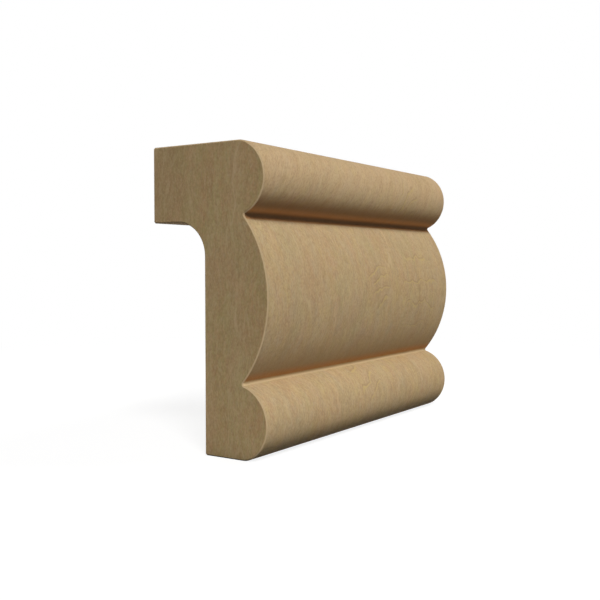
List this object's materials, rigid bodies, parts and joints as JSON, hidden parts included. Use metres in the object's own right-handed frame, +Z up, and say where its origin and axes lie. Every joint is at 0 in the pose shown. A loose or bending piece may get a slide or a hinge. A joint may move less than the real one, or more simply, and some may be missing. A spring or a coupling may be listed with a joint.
{
  "type": "rebated wood moulding",
  "caption": "Rebated wooden moulding with a wide belly between beads on its face, a thick lip along the top and a deep rebate behind that laps over the edge of a panel or casing.",
  "frame": {"origin": "bottom centre of the moulding's box: half way along its length and half way through its depth, at the level of the lower edge", "axes": "+X runs along the length, +Y points to the back, away from the moulded face, and +Z is up, from the lower bead to the lip"},
  "size_m": [0.1016, 0.0356, 0.0762],
  "materials": {
    "wood": "planed and sanded bare hardwood, satin"
  },
  "bodies": {
    "root": {"moulding": "wood"}
  },
  "joints": []
}
